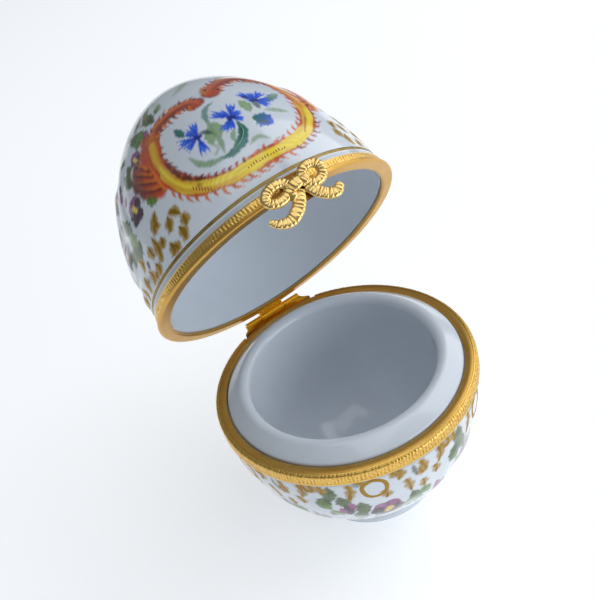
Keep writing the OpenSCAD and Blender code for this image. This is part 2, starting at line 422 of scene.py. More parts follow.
def to_lid(points):
    """Carries points of the shut lid, with Z = 0 at the mouth, round the hinge to the rest pose. The
    hinge's lower limit is the turn from the rest pose back to the shut one."""
    turn = Matrix.Rotation(math.radians(HINGE["range_deg"][0]), 3, "X")
    pivot = np.array(HINGE["pos_m"]) / MM
    shut = points + [0, 0, size("mouth_height")]
    return (shut - pivot) @ np.array(turn).T + pivot


def to_cup(points):
    """Carries points of the cup, with Z = 0 at the mouth, to their place."""
    return points + [0, 0, size("mouth_height")]


def egg(s, p, q):
    """Radius of the egg's outline, as a share of the greatest, at the fraction s of its height: the
    q-th root of one minus the p-th power of s, a rounded superellipse; p and q set its fullness."""
    return (1 - np.minimum(s, 1) ** p) ** (1 / q)


def azimuths(fine=0.44, coarse=0.98, front=76):
    """Directions round the egg, in degrees from the front: fine in front, coarser behind."""
    near = np.arange(-front, front, fine)
    far = np.linspace(front, 360 - front, int((360 - 2 * front) / coarse), endpoint=False)
    return np.concatenate([near, far])


class Shell:
    """The outside of a porcelain shell as a surface of two parameters: the direction round it, in
    degrees from the front towards +X, and the distance along the axis from the mouth, in mm.
    It holds the painting and the relief on a grid of points."""

    def __init__(self, depth, radius, up, first, last, rows, carry):
        self.depth, self.radius, self.up, self.carry = depth, radius, up, carry
        steps = np.hypot(np.diff(radius), np.diff(depth))
        self.arc = np.concatenate([[0], np.cumsum(steps)])
        slope = np.gradient(radius, self.arc)
        self.stretch = np.clip(np.gradient(self.arc, depth), 1, 6)
        self.normal_out = np.abs(np.gradient(depth, self.arc))
        self.normal_up = -slope * up
        self.columns = azimuths()
        ends = np.interp([first, last], depth, self.arc)
        self.row_arcs = np.linspace(*ends, rows)
        self.rows = np.interp(self.row_arcs, self.arc, depth)
        self.relief = np.zeros((rows, len(self.columns)))
        self.paint = np.ones((rows, len(self.columns), 3)) * tint("glaze")

    def at(self, depth, table):
        return np.interp(depth, self.depth, table)

    def relief_at(self, azimuth, depth):
        """Relief at any place, linear between the grid's points."""
        wrapped = (np.asarray(azimuth) - self.columns[0]) % 360 + self.columns[0]
        looped = np.append(self.columns, self.columns[0] + 360)
        column = np.interp(wrapped, looped, np.arange(len(looped)))
        row = np.interp(depth, self.rows, np.arange(len(self.rows)))
        c, r = column.astype(int), np.minimum(row.astype(int), len(self.rows) - 2)
        fc, fr = column - c, row - r
        c, after = c % len(self.columns), (c + 1) % len(self.columns)
        low = self.relief[r, c] * (1 - fc) + self.relief[r, after] * fc
        high = self.relief[r + 1, c] * (1 - fc) + self.relief[r + 1, after] * fc
        return low * (1 - fr) + high * fr

    def surface(self, azimuth, depth, lift=0.0):
        """Points on the relief, lifted along the plain egg's normal."""
        out = lift + self.relief_at(azimuth, depth)
        turn = np.radians(azimuth)
        radius = self.at(depth, self.radius) + out * self.at(depth, self.normal_out)
        height = depth * self.up + out * self.at(depth, self.normal_up)
        return self.carry(np.stack([radius * np.sin(turn), -radius * np.cos(turn), height], -1))

    def flat(self, azimuth, depth, middle):
        """Millimetres along and across the surface, measured from the middle direction."""
        return np.radians(azimuth - middle) * self.at(depth, self.radius), self.at(depth, self.arc)


# ---- Brushwork ----

def breadth(shape, t):
    """Share of a stroke's full width at the fraction t of its length: a sine bow for a leaf, a bow
    that is widest past the middle for a petal, a taper for a comma, rounded ends for a dab."""
    if shape == "leaf":
        return np.sin(math.pi * t) ** 0.8
    if shape == "petal":
        return np.sin(math.pi * np.minimum(t, 1) ** 1.7) ** 0.6 * 0.9 + 0.1 * (1 - t)
    if shape == "comma":
        return (1 - t) ** 0.75 * (0.75 + 0.25 * np.minimum(t / 0.2, 1))
    if shape == "dab":
        return (1 - np.abs(2 * t - 1) ** 3) ** 0.5 * (0.8 + 0.2 * np.sin(9 * t))
    return np.ones_like(t)


def nearest(u, v, path):
    """Distance to a chain of points, the fraction of its length and the side of the nearest place."""
    start, along = path[:-1], np.diff(path, axis=0)
    span = np.hypot(*along.T)
    rel_u, rel_v = u[..., None] - start[:, 0], v[..., None] - start[:, 1]
    f = np.clip((rel_u * along[:, 0] + rel_v * along[:, 1]) / np.maximum(span**2, 1e-12), 0, 1)
    gap = np.hypot(rel_u - f * along[:, 0], rel_v - f * along[:, 1])
    k = gap.argmin(-1)[..., None]
    f, gap = np.take_along_axis(f, k, -1)[..., 0], np.take_along_axis(gap, k, -1)[..., 0]
    side = np.take_along_axis(rel_v * along[:, 0] - rel_u * along[:, 1], k, -1)[..., 0]
    k = k[..., 0]
    done = np.concatenate([[0], np.cumsum(span)])
    return gap, (done[k] + f * span[k]) / done[-1], np.sign(side)


class Strokes:
    """Raised strokes gathered into one mesh. Each is a low ridge carried along a path: five points
    across its crowned top and two below the surface, with its ends closed."""

    across = np.array([-1, -0.6, 0, 0.6, 1, 0.8, -0.8])
    height = np.array([0.0, 0.75, 1, 0.75, 0.0, 0, 0])
    sunk = np.array([-0.02, 0, 0, 0, -0.02, -0.08, -0.08])

    def __init__(self):
        self.points, self.colours, self.sides, self.ends, self.count = [], [], [], [], 0

    def add(self, shell, path, width, colours, shape, height):
        """path holds directions and depths, width is half the full width in mm."""
        t = np.linspace(0, 1, len(path))
        radius = shell.at(path[:, 1], shell.radius)
        stretch = shell.at(path[:, 1], shell.stretch)
        run = np.stack([np.gradient(np.radians(path[:, 0])) * radius, np.gradient(path[:, 1]) * stretch])
        run /= np.maximum(np.hypot(*run), 1e-9)
        half = width * np.maximum(breadth(shape, t), 0.12)
        step = half[:, None] * self.across
        azimuth = path[:, :1] + np.degrees(-run[1][:, None] * step / radius[:, None])
        depth = path[:, 1:] + run[0][:, None] * step / stretch[:, None]
        crown = np.minimum(half / width, 1)[:, None] * self.height * height + self.sunk
        points = shell.surface(azimuth, np.clip(depth, shell.depth[0], shell.depth[-1]), crown)
        rows, columns = points.shape[:2]
        self.points.append(points.reshape(-1, 3))
        self.sides.append(grid_faces(rows, columns, self.count))
        end = self.count + np.arange(columns)
        self.ends += [end[::-1], end + (rows - 1) * columns]
        self.colours.append(np.repeat(colours, columns, 0))
        self.count += rows * columns

    def piece(self, name, material, body, slot):
        points, colours = np.concatenate(self.points), np.concatenate(self.colours)
        faces = [np.concatenate(self.sides), np.array(self.ends)]
        return add_piece(name, points, faces, material, body, paint=colours, crease=80)


class Brush:
    """Paints, embosses or lays raised strokes on a shell. Paths hold pairs of a direction, in
    degrees, and a distance from the mouth, in mm. turn moves a design round the egg and mirror = -1
    swaps its left and right."""

    def __init__(self, shell, turn=0, mirror=1, seed=0, raised=None):
        self.shell, self.turn, self.mirror, self.raised = shell, turn, mirror, raised
        self.dice = np.random.default_rng(seed)

    def laid(self, corners, steps=None):
        """A smooth path through the corners, mirrored and turned to its place."""
        path = smooth_path(corners, steps or 6 * len(corners))
        return path * [self.mirror, 1] + [self.turn, 0]

    def _block(self, path, reach):
        """The part of the grid within reach of a path, and how each of its points lies to it."""
        shell = self.shell
        middle = path[:, 0].mean()
        narrow = max(shell.at(path[:, 1], shell.radius).min(), 1.5)
        wide = (np.ptp(path[:, 0]) / 2 + math.degrees(reach / narrow)) * 1.02 + 1
        offset = (shell.columns - middle + 180) % 360 - 180
        columns = np.flatnonzero(np.abs(offset) <= wide)
        arcs = shell.at(path[:, 1], shell.arc)
        rows = np.flatnonzero((shell.row_arcs > arcs.min() - reach) & (shell.row_arcs < arcs.max() + reach))
        u, v = shell.flat(middle + offset[columns][None], shell.rows[rows][:, None], middle)
        v = np.broadcast_to(v, u.shape)
        line = np.stack(shell.flat(path[:, 0], path[:, 1], middle), -1)
        return np.ix_(rows, columns), nearest(u, v, line)

    def stroke(self, corners, width, colour, shape="line", soft=0.22, strength=1.0, edge=None, tip=None):
        """Soft stroke of paint; width is half its full width in mm. edge is the colour of its
        rim and tip the colour of its far end. The cover falls from 1 to 0 over the soft distance
        round the stroke's ragged outline, and bristles streak it lengthwise."""
        path = self.laid(corners)
        where, (gap, t, side) = self._block(path, width + soft)
        half = width * breadth(shape, t)
        phase = self.dice.uniform(0, 6.28, 3)
        ragged = 0.12 * np.sin(t * 23 + phase[0]) + 0.08 * np.sin(t * 57 + phase[1] + side)
        cover = np.clip((half * (1 + ragged) - gap) / soft + 0.5, 0, 1)
        bristle = 0.5 + 0.5 * np.sin(side * gap / max(width, 0.1) * 9 + phase[2] + 2 * np.sin(t * 5))
        body = np.ones((*gap.shape, 3)) * tint(colour)
        if tip:
            body += (tint(tip) - body) * np.clip(t * 1.3 - 0.15, 0, 1)[..., None]
        if edge:
            near = np.clip(gap / np.maximum(half, 0.05), 0, 1) ** 3
            body += (tint(edge) - body) * (near * 0.8)[..., None]
        body *= (0.86 + 0.2 * bristle)[..., None]
        amount = (cover * strength * (0.95 + 0.05 * bristle))[..., None]
        self.shell.paint[where] += (body - self.shell.paint[where]) * amount

    def emboss(self, corners, width, height):
        """Raises the porcelain along a path, falling off smoothly to nothing at the width."""
        path = self.laid(corners)
        where, (gap, _, _) = self._block(path, width)
        lift = height * np.clip(1 - (gap / width) ** 2, 0, 1) ** 2
        self.shell.relief[where] = np.maximum(self.shell.relief[where], lift)

    def line(self, corners, width, colour, shape="line", height=1.0, tip=None, steps=None):
        """Raised stroke of enamel or gold."""
        path = self.laid(corners, steps)
        t = np.linspace(0, 1, len(path))[:, None]
        colours = tint(colour) * (1 - t) + tint(tip or colour) * t
        self.raised.add(self.shell, path, width, colours, shape, height * size("enamel"))

    def spots(self, places, width, colour):
        """Short upright dabs, a little taller than they are wide."""
        for azimuth, depth in places:
            self.stroke([(azimuth, depth - width * 0.65), (azimuth + 0.3, depth + width * 0.65)], width, colour)


def hoop(depth, parts):
    """A path all the way round the egg."""
    return [(k * 360 / parts, depth) for k in range(parts + 1)]


# ---- Painting of the lid ----

RIBBON = [(-36.2, 21), (-37, 17.6), (-36, 14.8), (-33.5, 12.1), (-29, 9.8), (-22, 8.1), (-15, 7.2), (-7, 7),
          (1, 7.1), (10, 7.2), (18, 7.9), (25, 9.3), (31, 11.7), (35, 14.4), (38, 17.6), (39, 20.6)]
LEFT_CREST = [(-36, 20), (-34, 22.2), (-28, 23.4), (-18, 23.8), (-10, 23.5), (-6, 22.4)]
RIGHT_CREST = [(3.6, 23), (8, 24.2), (16, 25), (25, 25.2), (33, 24), (39, 21.4), (42, 17.6)]


# A degree round the egg, in mm, near the medallion, and the degrees in a mm on the bouquets
DEGREE = 0.35
DEGREES_PER_MM = 2.75


def headings(path):
    """Unit vectors along a path, in mm round and along the egg."""
    run = np.gradient(path, axis=0) * [DEGREE, 1]
    return run / np.hypot(*run.T)[:, None]


def beside(path, offset):
    """A path moved sideways by a distance in mm: each point goes along the path's normal."""
    path = smooth_path(path, 3 * len(path))
    run = headings(path)
    return path + np.stack([-run[:, 1] / DEGREE, run[:, 0]], -1) * offset


def flames(brush, path, count, side, reach, colours, lean=0.6):
    """Small curved spikes along a path, pointing to one side of it. reach is their length in mm."""
    path = smooth_path(path, count)
    run = headings(path)
    out = np.stack([-run[:, 1], run[:, 0]], -1) * side
    for k in range(1, count - 1):
        tall = reach * brush.dice.uniform(0.55, 1.3)
        sway = lean * brush.dice.uniform(0.5, 1.5)
        way = (out[k] * tall + run[k] * sway) / [DEGREE, 1]
        bend = path[k] + way * 0.5 - run[k] * sway * 0.25 / [DEGREE, 1]
        brush.stroke([path[k], bend, path[k] + way], 0.3, colours[k % len(colours)], "comma", 0.2,
                     tip=colours[(k + 1) % len(colours)])


def paint_feathers(brush, strength, tones):
    """Plume that sweeps away from the ribbon's side. tones run from its dark end to the ribbon, and
    strength is the share of the glaze that it covers."""
    dark, warm, pale = tones
    brush.stroke([(-40, 13), (-46, 15.5), (-51, 18.5), (-54, 21)], 2.0, warm, "leaf", 0.9, strength, edge=dark)
    brush.stroke([(-43, 14.4), (-49, 16.8), (-55, 20.6)], 1.7, dark, "leaf", 0.8, strength)
    brush.stroke([(-41, 13.6), (-43, 17), (-42, 20.6), (-39, 22.6)], 1.3, warm, "line", 0.7, strength)
    for k in range(12):
        root = (-39.4 - 0.35 * k, 12.8 + 0.5 * k)
        end = (-53 - 5 * math.sin(0.28 * k), 17.2 + 0.5 * k)
        brush.stroke([root, (-45.5, root[1] + 1.2), end], 0.34, (warm, dark, pale)[k % 3], "comma", 0.25,
                     strength, tip=dark)
    brush.stroke([(-38.6, 13.2), (-40.2, 17), (-39.2, 21), (-36.4, 23)], 0.5, pale, "line", 0.4, strength)


def paint_crest(brush, crest, tones, width):
    """Rolled plume over the medallion, shaded from its dark tips to its warm middle."""
    dark, warm, pale = tones
    brush.stroke(crest, width, warm, "line", 0.5, edge=dark)
    brush.stroke(beside(crest, -0.35 * width), 0.45, dark, "leaf", 0.6, 0.7)
    brush.stroke(beside(crest, 0.45 * width), 0.4, pale, "leaf", 0.6, 0.8)
    flames(brush, beside(crest, 0.75 * width), 15, 1, 1.0, (warm, dark, pale), 0.9)
    flames(brush, beside(crest, -0.75 * width), 15, -1, 1.1, (pale, warm, dark), 0.9)


def paint_cartouche(brush):
    """Medallion in a yellow ribbon with orange edges, crowned by two feathered crests."""
    paint_feathers(brush, 1.0, ("dark_red", "flame", "orange"))
    mirrored = Brush(brush.shell, brush.turn, -brush.mirror, 5)
    paint_feathers(mirrored, 0.62, ("flame", "orange", "ochre"))
    paint_crest(brush, LEFT_CREST, ("dark_red", "flame", "orange"), 1.15)
    paint_crest(brush, RIGHT_CREST, ("dark_red", "flame", "orange"), 1.3)
    brush.stroke([(1.4, 23), (2, 24.8), (5, 25.8)], 0.3, "ochre", "leaf", 0.3, 0.9)
    # ribbon with its shading
    brush.stroke(RIBBON, 1.3, "flame", soft=0.2)
    brush.stroke(RIBBON[2:14], 0.98, "yellow", soft=0.25)
    brush.stroke(RIBBON, 0.55, "yellow", soft=0.4)
    brush.stroke(beside(RIBBON[1:8], -0.5), 0.3, "ochre", "leaf", 0.5, 0.75)
    brush.stroke(beside(RIBBON[:6], 0.5), 0.22, "ochre", "leaf", 0.4, 0.8)
    brush.stroke(beside(RIBBON[10:], 0.45), 0.35, "ochre", "leaf", 0.5, 0.75)
    brush.stroke([(35, 14.2), (37.8, 17.4), (38.8, 21)], 1.0, "orange", "line", 0.6, 0.65)
    brush.stroke([(-37.2, 17.4), (-36.6, 20), (-34.6, 22.2)], 0.9, "ochre", "line", 0.6, 0.5)
    brush.stroke([(-27.5, 9.6), (-25.5, 9)], 0.3, "brown", "leaf", 0.4, 0.8)
    # flames on both edges, darker and thicker inside on the left
    inside, outside = beside(RIBBON, 1.2), beside(RIBBON, -1.2)
    brush.stroke(inside[3:17], 0.55, "dark_red", "leaf", 0.35)
    flames(brush, inside[:24], 18, 1, 0.7, ("dark_red", "flame"))
    flames(brush, inside[22:], 16, 1, 0.75, ("flame", "orange"), 0.9)
    flames(brush, outside[8:30], 17, -1, 1.0, ("flame", "orange"), 1.0)
    flames(brush, outside[28:44], 14, -1, 0.8, ("flame", "dark_red"), 0.8)


# Centre of each cornflower and the tips of its petals
CORNFLOWERS = [
    ((0.5, 16.1), [(-5.6, 18.9), (-1.4, 18.4), (5.8, 18.9), (6.4, 16.6), (4.6, 14.7), (-3.4, 13.9),
                   (-6.6, 14.4)]),
    ((-16, 16.3), [(-14.2, 19.3), (-19.4, 18.6), (-25.6, 17.3), (-23.4, 15.4), (-17.4, 12.7)]),
    ((16, 17.6), [(13.4, 20.6), (18.6, 19.8), (24.4, 19.2), (23.4, 16.6), (19.6, 15.2), (13.2, 18)]),
]


def paint_cornflowers(brush):
    """Three blue cornflowers with their stems, calyxes and leaves inside the medallion."""
    brush.stroke([(0.4, 20.8), (-4, 20.5), (-7.4, 19.2), (-8.8, 17)], 0.5, "teal", "leaf", 0.35, 0.75)
    brush.stroke([(-8.4, 18.4), (-9, 16), (-9.6, 13.6), (-11.4, 11)], 0.45, "sage", "leaf", 0.35, edge="teal")
    brush.stroke([(-24, 14.2), (-21.5, 12), (-17, 10.9), (-11, 10.6)], 0.5, "sage", "leaf", 0.4, edge="teal")
    brush.stroke([(1.2, 15.2), (0.6, 13.2), (-3, 11.4), (-9, 10.4), (-14, 10.6)], 0.85, "teal", "leaf", 0.25)
    brush.stroke([(0.8, 14.6), (-0.4, 12.8), (-4, 11.4)], 0.2, "deep_teal", "leaf", 0.3, 0.8)
    brush.stroke([(-2.2, 14), (-4.6, 12.8), (-5.4, 11.8)], 0.42, "sage", "leaf", 0.3)
    brush.stroke([(7.4, 14.3), (9.8, 13.6), (12.6, 11.6)], 1.5, "teal", "leaf", 0.3, tip="blue")
    brush.stroke([(8, 13.4), (10, 12.8), (12, 12)], 0.5, "deep_teal", "leaf", 0.4, 0.7)
    brush.stroke([(-22.8, 20.4), (-21.8, 19.4), (-20.6, 17.8)], 0.62, "teal", "leaf", 0.3, edge="deep_teal")
    brush.stroke([(19, 16.4), (25, 17.2), (31.5, 18)], 0.75, "teal", "leaf", 0.3, tip="sage", edge="blue")
    brush.stroke([(15, 14.9), (19, 14.2), (24, 13)], 0.5, "sage", "leaf", 0.4, 0.8)
    brush.stroke([(-2, 10), (3, 10.7), (6.8, 9.4)], 0.4, "sage", "leaf", 0.4, 0.85)
    brush.stroke([(-13.6, 14), (-12, 12.6), (-14.4, 11.8)], 0.2, "sage", "line", 0.35, 0.7)
    for (azimuth, depth), lean in (((-11.6, 15.2), 1.4), ((10.4, 17.2), -0.4), ((-7.4, 15.6), 0.3)):
        brush.stroke([(azimuth - 1.2, depth - 1.7), (azimuth, depth), (azimuth + lean, depth + 1.6)],
                     0.8, "sage", "leaf", 0.35, edge="green")
    brush.stroke([(-14.6, 16.8), (-12, 16.2), (-10, 15.2)], 0.4, "deep_teal", "leaf", 0.35, 0.85)
    brush.stroke([(14, 15.4), (14.8, 16.8), (15.4, 18)], 0.5, "deep_teal", "leaf", 0.35, 0.8)
    for centre, tips in CORNFLOWERS:
        for end in tips:
            fork = np.array(end) - centre
            side = np.array([-fork[1] * 2.6, fork[0] * 0.36]) * 0.2
            root = centre + fork * 0.4
            brush.stroke([centre, centre + fork * 0.5, centre + fork * 0.85], 0.55, "blue", "petal", 0.2)
            for sign, colour in ((-1, "blue"), (0, "sky"), (1, "blue")):
                brush.stroke([root, root + fork * 0.3 + side * sign * 0.8, end + side * sign],
                             0.3, colour, "comma", 0.2)
            brush.stroke([centre, centre + fork * 0.45], 0.16, "deep_blue", "comma", 0.3, 0.8)
        heart = [(centre[0] - 0.8, centre[1]), (centre[0] + 0.9, centre[1] - 0.1)]
        brush.stroke(heart, 0.4, "deep_blue", soft=0.3)
    brush.stroke([(13.8, 18.2), (14.4, 19.6)], 0.45, "deep_blue", "leaf", 0.35, 0.8)


# Angle, reach, half width, colour and edge of a pansy's petals, from the back ones to the front
PANSY = [(118, 2.3, 1.1, "mauve", "plum"), (62, 2.2, 1.1, "mauve", "plum"), (5, 2.3, 1.05, "plum", "plum"),
         (178, 2.0, 1.0, "plum", "mauve"), (-118, 2.6, 1.05, "plum", "plum"), (-66, 2.7, 1.1, "plum", "plum")]


def paint_pansy(brush, centre, scale=1.0, turn=0.0):
    """Pansy of two mauve petals above four dark ones, round a primrose eye."""
    centre = np.array(centre, float)
    for angle, reach, width, colour, edge in PANSY:
        a = math.radians(angle + turn)
        step = np.array([math.cos(a) * DEGREES_PER_MM, math.sin(a)]) * reach * scale
        path = [centre, centre + step * 0.55, centre + step]
        brush.stroke(path, width * scale, colour, "petal", 0.35, edge=edge)
    brush.stroke([centre + [-0.8, 0.5], centre + [0.9, -0.3]], 0.42 * scale, "primrose", soft=0.3)


def paint_leaves(brush, places, colour="green", edge="moss", width=1.15):
    """Painted leaves, each given by its root and its tip, with a dark rib and lobed sides."""
    for root, end in places:
        root, end = np.array(root, float), np.array(end, float)
        bend = (root + end) / 2 + [brush.dice.uniform(-1.2, 1.2), brush.dice.uniform(-0.2, 0.2)]
        brush.stroke([root, bend, end], width, colour, "leaf", 0.35, edge=edge)
        step = end - root
        side = np.array([-step[1] * 2.6, step[0] * 0.36])
        for sign in (-1, 1):
            lobe = root + step * 0.5 + side * 0.3 * sign
            brush.stroke([root + step * 0.3, lobe], 0.35, edge, "comma", 0.3, 0.7)
        brush.stroke([root, bend, root * 0.2 + end * 0.8], 0.14, edge, "leaf", 0.25, 0.8)


def paint_bouquet(brush):
    """Pansies, leaves and sprays on the side of the lid."""
    dark = [((-42, 24.4), (-52, 27)), ((-39, 24), (-46, 26.4)), ((-56, 18.6), (-63, 22)),
            ((-54, 19.4), (-58, 22.8)), ((-30, 25), (-37, 28.6)), ((-66, 13), (-76, 16.4)),
            ((-70, 14.6), (-82, 17.4)), ((-68, 11.6), (-79, 9.4)), ((-64, 11), (-72, 8.4))]
    fresh = [((-50, 14.8), (-43.6, 12.8)), ((-64, 11.8), (-74, 12.6)), ((-47, 23.2), (-41, 26)),
             ((-60, 23.8), (-70, 26.6)), ((-86, 15), (-96, 17.4)), ((-88, 9), (-96, 7))]
    pale = [((-46, 27), (-42, 30)), ((-36, 27.6), (-33, 30.4)), ((-52, 26.6), (-60, 29.2)),
            ((-28, 26.4), (-24, 28.4))]
    paint_leaves(brush, dark, "moss", "deep_moss")
    paint_leaves(brush, fresh)
    paint_leaves(brush, pale, "sage", "moss", 0.7)
    for tilt in range(5):
        root = (-34 - 6 * tilt, 26.8)
        brush.stroke([root, (root[0] - 3, 28.4), (root[0] - 2, 30.2)], 0.16, "brown", "comma", 0.35, 0.65)
    paint_pansy(brush, (-59.8, 15.2), 1.0, 12)
    paint_pansy(brush, (-49.4, 21.8), 0.78, -8)
    paint_pansy(brush, (-83, 12.4), 0.95, 30)
    paint_pansy(brush, (-78, 20.8), 0.8, -20)
    brush.spots([(-70, 19.8), (-66, 18.2), (-38, 24.4), (-92, 20)], 0.5, "mauve")
    brush.spots([(-69, 21.2), (-40, 23.4), (-67, 7)], 0.42, "plum")


def paint_tip(brush):
    """Faint sprays that meet at the tip of the egg."""
    brush.stroke([(-12, 27.6), (-6, 28.4), (2, 29.8), (8, 31.4)], 0.7, "sage", "leaf", 0.9, 0.7)
    brush.stroke([(2, 29.4), (9, 30.6), (16, 31.6)], 0.6, "teal", "leaf", 0.9, 0.4)
    brush.stroke([(22, 26.6), (26, 27.4), (31, 27.7)], 0.6, "sage", "leaf", 0.5, 0.85, edge="ochre")
    brush.stroke([(-22, 28), (-30, 30.5), (-20, 32.5)], 0.5, "sage", "leaf", 0.9, 0.5)


def emboss_lid(brush):
    """Low moulded ribbon and crests, and scrolls on the sides that break the outline."""
    high = size("relief")
    brush.emboss(RIBBON, 2.2, high * 0.22)
    brush.emboss(LEFT_CREST, 1.9, high * 0.4)
    brush.emboss(RIGHT_CREST, 2.1, high * 0.4)
    for side in (-1, 1):
        brush.emboss([(side * 42, 14), (side * 47, 17), (side * 50, 20)], 2.2, high * 0.8)
        brush.emboss([(side * 84, 11), (side * 90, 13.5), (side * 88, 18), (side * 84, 22)], 3.2, high * 1.7)
        brush.emboss([(side * 64, 12), (side * 72, 15), (side * 74, 20), (side * 66, 24)], 2.4, high * 0.9)
        brush.emboss([(side * 90, 5.6), (side * 82, 6.6), (side * 74, 5.4)], 1.6, high)


LID_DABS = [
    ((-58, 5.2), (-56.4, 7.2), (-57, 9.4)), ((-50.6, 9.2), (-51.4, 10.6), (-48.6, 11.8)),
    ((-54, 9), (-52.6, 10), (-50, 10.2)), ((-46.8, 7.2), (-45.4, 8.2), (-44.4, 9.4)),
    ((-43.2, 9.6), (-41, 9.2), (-38.6, 8)), ((-38.2, 7.8), (-38.4, 6.8), (-39.4, 6)),
    ((-42.6, 4.4), (-41.6, 5.6), (-42.4, 6.8)), ((-51.4, 4.2), (-49.4, 5), (-49.8, 6.2)),
    ((-47.4, 4.2), (-47.8, 4.8), (-49, 5.4)), ((-63.4, 4.2), (-61.8, 5), (-62.4, 6.2)),
    ((-69.8, 4.2), (-68, 5.2), (-69.2, 6.6)), ((-66, 4.2), (-65.6, 4.7), (-64, 5.2)),
    ((-76, 4.2), (-74.4, 5.4), (-75.4, 7)), ((-72, 7.2), (-71, 8.2), (-73, 9.4)),
    ((-83, 4.2), (-81.4, 5.2), (-82.6, 6.6)), ((-89, 4.2), (-87.6, 5.2), (-88.4, 6.2)),
    ((-54.6, 6.6), (-53, 7), (-52, 8)), ((-60.4, 6.8), (-61.6, 7.8), (-61.2, 9)),
]


def gild_lid(brush):
    """Blotchy dabs of gold between the bouquets and the gold line."""
    for k, dab in enumerate(LID_DABS):
        brush.line(dab, 0.5 - 0.05 * (k % 3), "gilding", "leaf", 1.0, steps=14)


def shadow_gold(brush, dabs, width):
    """Flat gold leaves painted round the raised dabs, so that they melt into the glaze."""
    for dab in dabs:
        root, middle = np.array(dab[0]), np.array(dab[1])
        brush.stroke(dab, width, "gilding", "leaf", 0.4, 0.85)
        for sign in (-1, 1):
            wing = [middle, middle + [1.1 * sign, 0.15], middle + [2.2 * sign, 0.6]]
            brush.stroke(wing, width * 0.75, "gilding", "leaf", 0.4, 0.8)
            leaflet = [root, (root + middle) / 2 + [1.5 * sign, 0]]
            brush.stroke(leaflet, width * 0.6, "gilding", "leaf", 0.4, 0.8)


def enamel_lid(brush):
    """Fine raised lines: hatching on the ribbon, petal veins and leaf veins."""
    for k in range(14):
        azimuth = -8 + 1.25 * k
        rise = 0.35 + 0.12 * ((k * 5) % 4)
        brush.line([(azimuth, 6.75), (azimuth + 0.3, 6.75 + rise)], 0.13, "brown", "leaf", 0.5, steps=5)
    for first, step in (((-29, 9.6), (0.9, -0.34)), ((21.5, 8.4), (1.1, 0.42))):
        for k in range(7):
            root = np.array(first) + np.array(step) * k
            brush.line([root - [0.3, 0.4], root + [0.3, 0.4]], 0.12, "brown", "leaf", 0.5, steps=5)
    for centre, tips in CORNFLOWERS:
        for end in tips:
            root, fork = np.array(centre), np.subtract(end, centre)
            vein = [root + fork * 0.3, root + fork * 0.8]
            brush.line(vein, 0.07, "deep_blue", "comma", 0.5, steps=6)
    brush.line([(1.0, 14.6), (0.2, 12.8), (-4, 11.3), (-9, 10.6)], 0.08, "sage", "leaf", 0.5)
    brush.line([(24, 17.3), (27, 17.7), (30.6, 17.8)], 0.07, "sage", "leaf", 0.5)


# ---- Painting of the cup ----

CUP_RING = [(-26.6, 2.7), (-29.8, 3.6), (-30.2, 5), (-28.6, 6.6), (-25.4, 7.1), (-21.8, 6.6), (-20.4, 5),
            (-21.4, 3.5), (-25, 2.7), (-28.4, 3)]
CUP_DABS = [
    ((-35.4, 2.6), (-35, 4.4), (-37, 7.4)), ((-32, 2.2), (-30.6, 2.6), (-29, 3.2)),
    ((-22.6, 6), (-21, 7.4), (-21.8, 8.6)), ((-15, 2.4), (-13.8, 3.4), (-15.4, 4.8)),
    ((-17.4, 2.4), (-16.4, 3), (-15, 3.4)), ((-12.4, 5.4), (-11.2, 7.2), (-10.6, 9.6)),
    ((-5, 2.8), (-3.8, 4.2), (-2.6, 6)), ((-4, 6.2), (-5.4, 5.4), (-6, 4.4)),
    ((-4.8, 8), (-4.2, 9.2), (-4.4, 10.6)), ((1, 6.2), (2.4, 7.4), (2, 8.8)),
    ((-56, 2.6), (-55, 4.4), (-56.6, 6.4)), ((-51, 2.4), (-50, 3.4), (-51.4, 4.4)),
    ((5.4, 2.4), (7, 3.6), (8.4, 4.2)), ((12.4, 2.6), (13.6, 3.6), (13, 4.8)),
]


def paint_cup(brush):
    """One sixth of the garland: greenery, a pansy and a bud under the ring of scrolls."""
    dark = [((-43.4, 2.6), (-45, 7)), ((-45, 5.6), (-49.6, 9.2)), ((-40.6, 5.6), (-39.4, 9)),
            ((-33, 8), (-32, 12.4)), ((-34, 10.6), (-36.6, 16)), ((-10.4, 9.8), (-9, 14.6))]
    fresh = [((-9, 12), (-6.4, 17)), ((-6, 10.6), (-1.6, 13.4)), ((-13, 12), (-12, 16.4)),
             ((12, 6.4), (14, 9.6)), ((14.6, 9.6), (17.6, 12.6))]
    pale = [((-37, 13), (-38.6, 18.4)), ((-29, 15), (-31, 18.6))]
    paint_leaves(brush, dark, "moss", "deep_moss", 1.2)
    paint_leaves(brush, fresh, "green", "moss", 1.05)
    paint_leaves(brush, pale, "sage", "moss", 0.6)
    paint_pansy(brush, (-22.2, 12.8), 1.35, 176)
    brush.stroke([(-39.4, 8.4), (-39, 10), (-39.6, 12.2)], 0.95, "plum", "leaf", 0.35)
    brush.stroke([(-41.8, 9), (-41.4, 11.6)], 0.6, "mauve", "leaf", 0.35)
    brush.stroke([(-37, 7.8), (-36.4, 10.2)], 0.6, "mauve", "leaf", 0.35)
    brush.stroke([(3, 12), (4.4, 14.4), (4.6, 17)], 1.1, "mauve", "leaf", 0.4, edge="plum")
    brush.stroke([(7, 12.6), (7.6, 15.2)], 0.7, "plum", "leaf", 0.4)
    brush.stroke([(-8.6, 2.8), (-8, 4.4), (-7.4, 5.8)], 0.45, "deep_moss", "leaf", 0.4, 0.8)
    brush.stroke([(5, 4), (5.8, 5.6)], 0.4, "moss", "leaf", 0.4, 0.7)
    brush.stroke([(-33, 2.2), (-32.4, 3), (-31, 3.6)], 0.5, "grey", "leaf", 0.5, 0.8)
    brush.spots([(-47, 12), (-31, 19), (-16, 18)], 0.5, "mauve")


